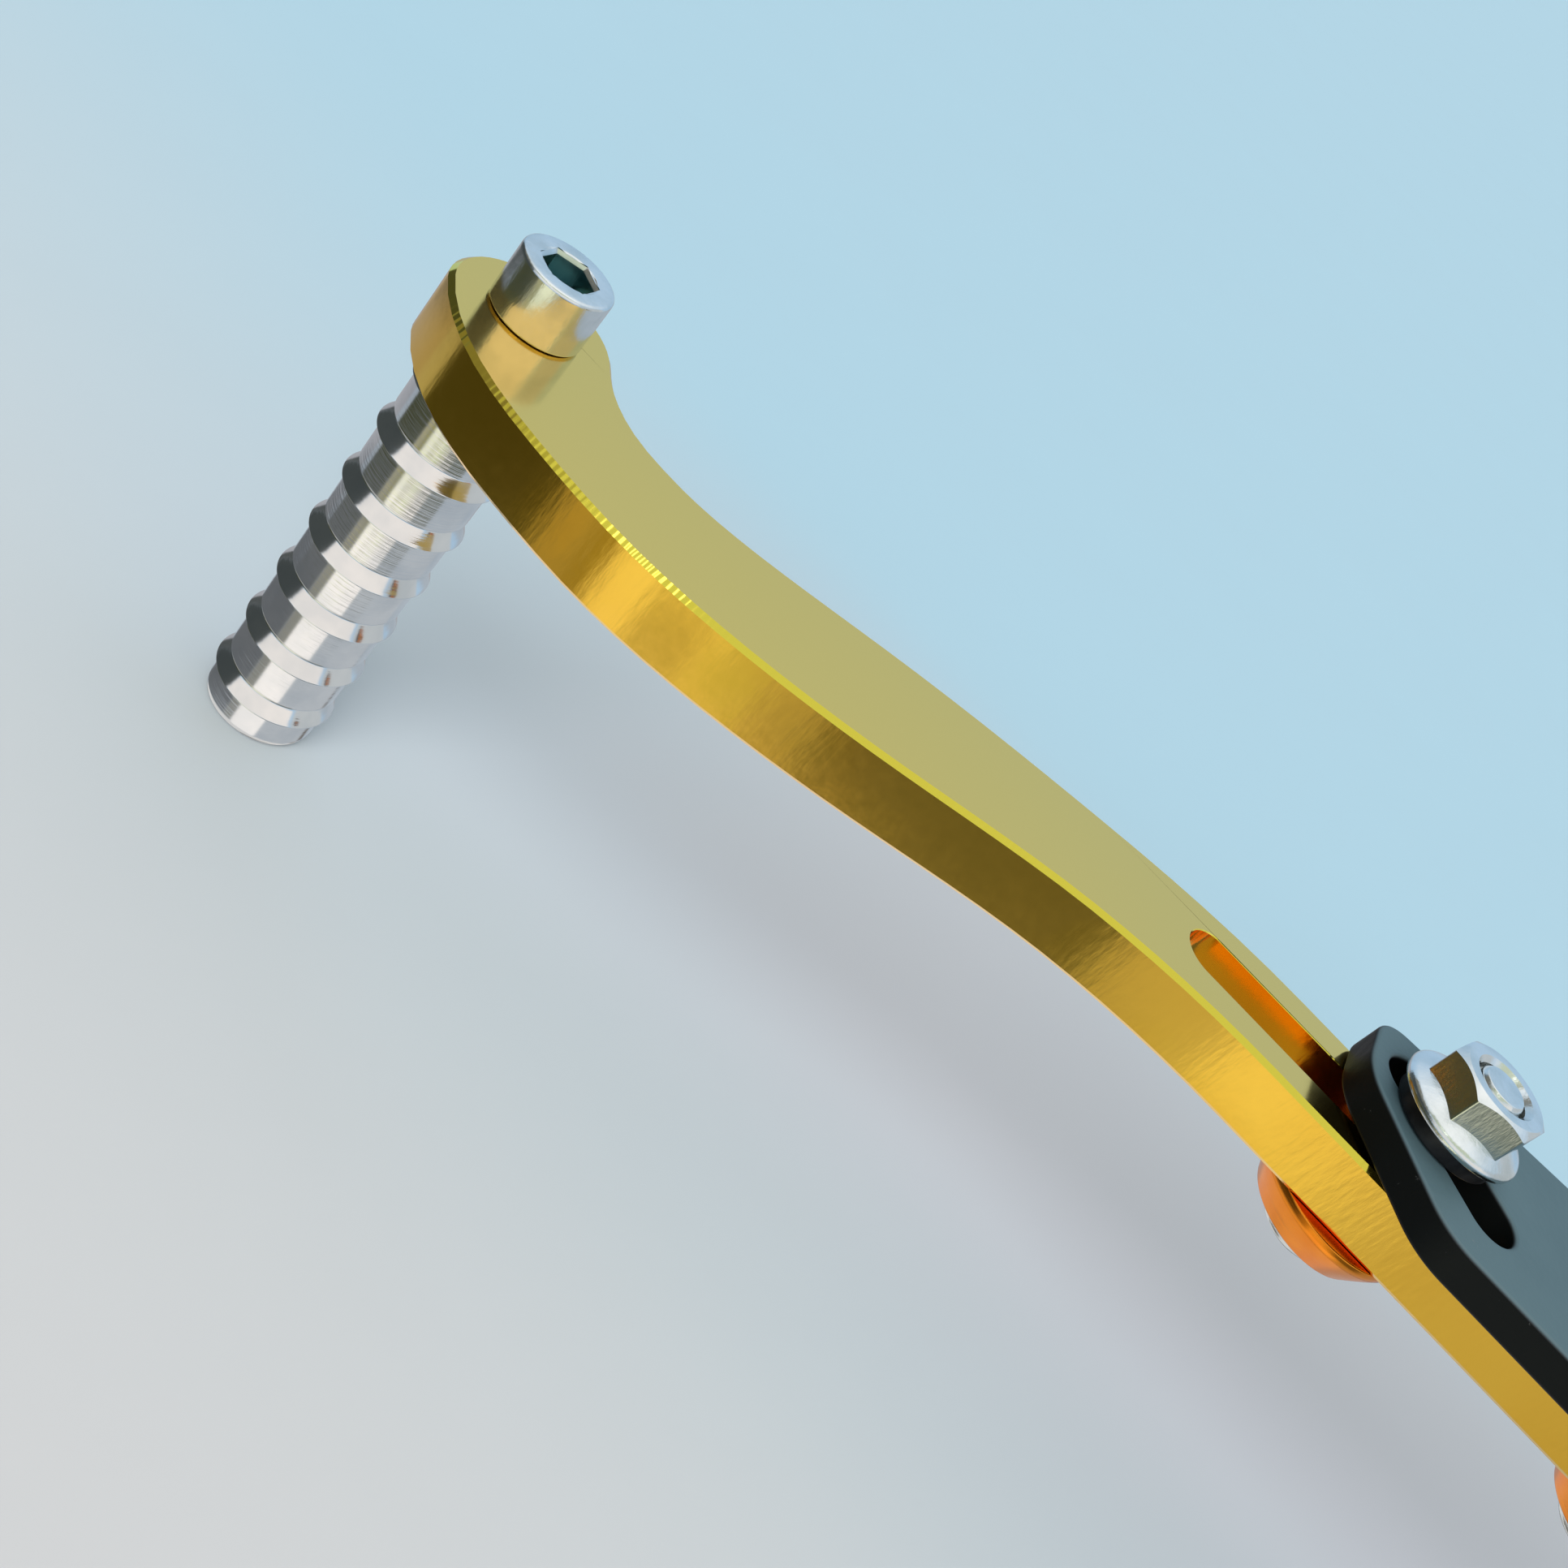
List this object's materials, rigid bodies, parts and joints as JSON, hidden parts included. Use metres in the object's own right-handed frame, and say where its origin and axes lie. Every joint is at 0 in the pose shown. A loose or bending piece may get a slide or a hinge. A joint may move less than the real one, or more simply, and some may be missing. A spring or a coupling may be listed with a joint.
{
  "type": "gear shift lever",
  "caption": "Adjustable motorcycle gear shift lever: slotted hooked arm with barbed toe peg, bolted under a bracket with a splined split clamp hub.",
  "frame": {"origin": "on the gear shaft's axis, level with the arm's top face", "axes": "+Z along the shaft's axis, towards the nuts; +X along the arm's slot, from the toe peg to the shaft"},
  "size_m": [0.2319, 0.0426, 0.0697],
  "materials": {
    "gold_anodised": "satin gold anodised",
    "orange_anodised": "gloss orange anodised",
    "black_satin": "satin black paint",
    "bright_steel": "bright zinc plate",
    "dark_steel": "blackened steel"
  },
  "bodies": {
    "bracket": {"bracket_plate": "black_satin", "clamp_hub": "black_satin", "pinch_bolt": "bright_steel", "pinch_washer": "bright_steel"},
    "rear_fastener": {"rear_slot_bolt": "bright_steel", "rear_cone_washer": "orange_anodised", "rear_flat_washer": "dark_steel", "rear_flange_nut": "bright_steel"},
    "arm": {"shift_arm": "gold_anodised", "toe_peg": "bright_steel", "peg_screw": "bright_steel"},
    "front_fastener": {"front_slot_bolt": "bright_steel", "front_cone_washer": "orange_anodised", "front_flat_washer": "dark_steel", "front_flange_nut": "bright_steel"}
  },
  "joints": [
    {"name": "angle_adjust", "type": "hinge", "parent": "bracket", "child": "rear_fastener", "pos_m": [-0.0445, 0, 0], "axis": [0, 0, 1], "range_deg": [-2, 5]},
    {"name": "length_adjust", "type": "slide", "parent": "rear_fastener", "child": "arm", "axis": [1, 0, 0], "range_m": [-0.003, 0.019]},
    {"name": "front_bolt_travel", "type": "slide", "parent": "bracket", "child": "front_fastener", "axis": [0.8192, -0.5736, 0], "range_m": [-0.0027, 0.0062]}
  ],
  "couplings": [
    {"joint": "front_bolt_travel", "follows": "angle_adjust", "m_per_rad": 0.0676}
  ]
}
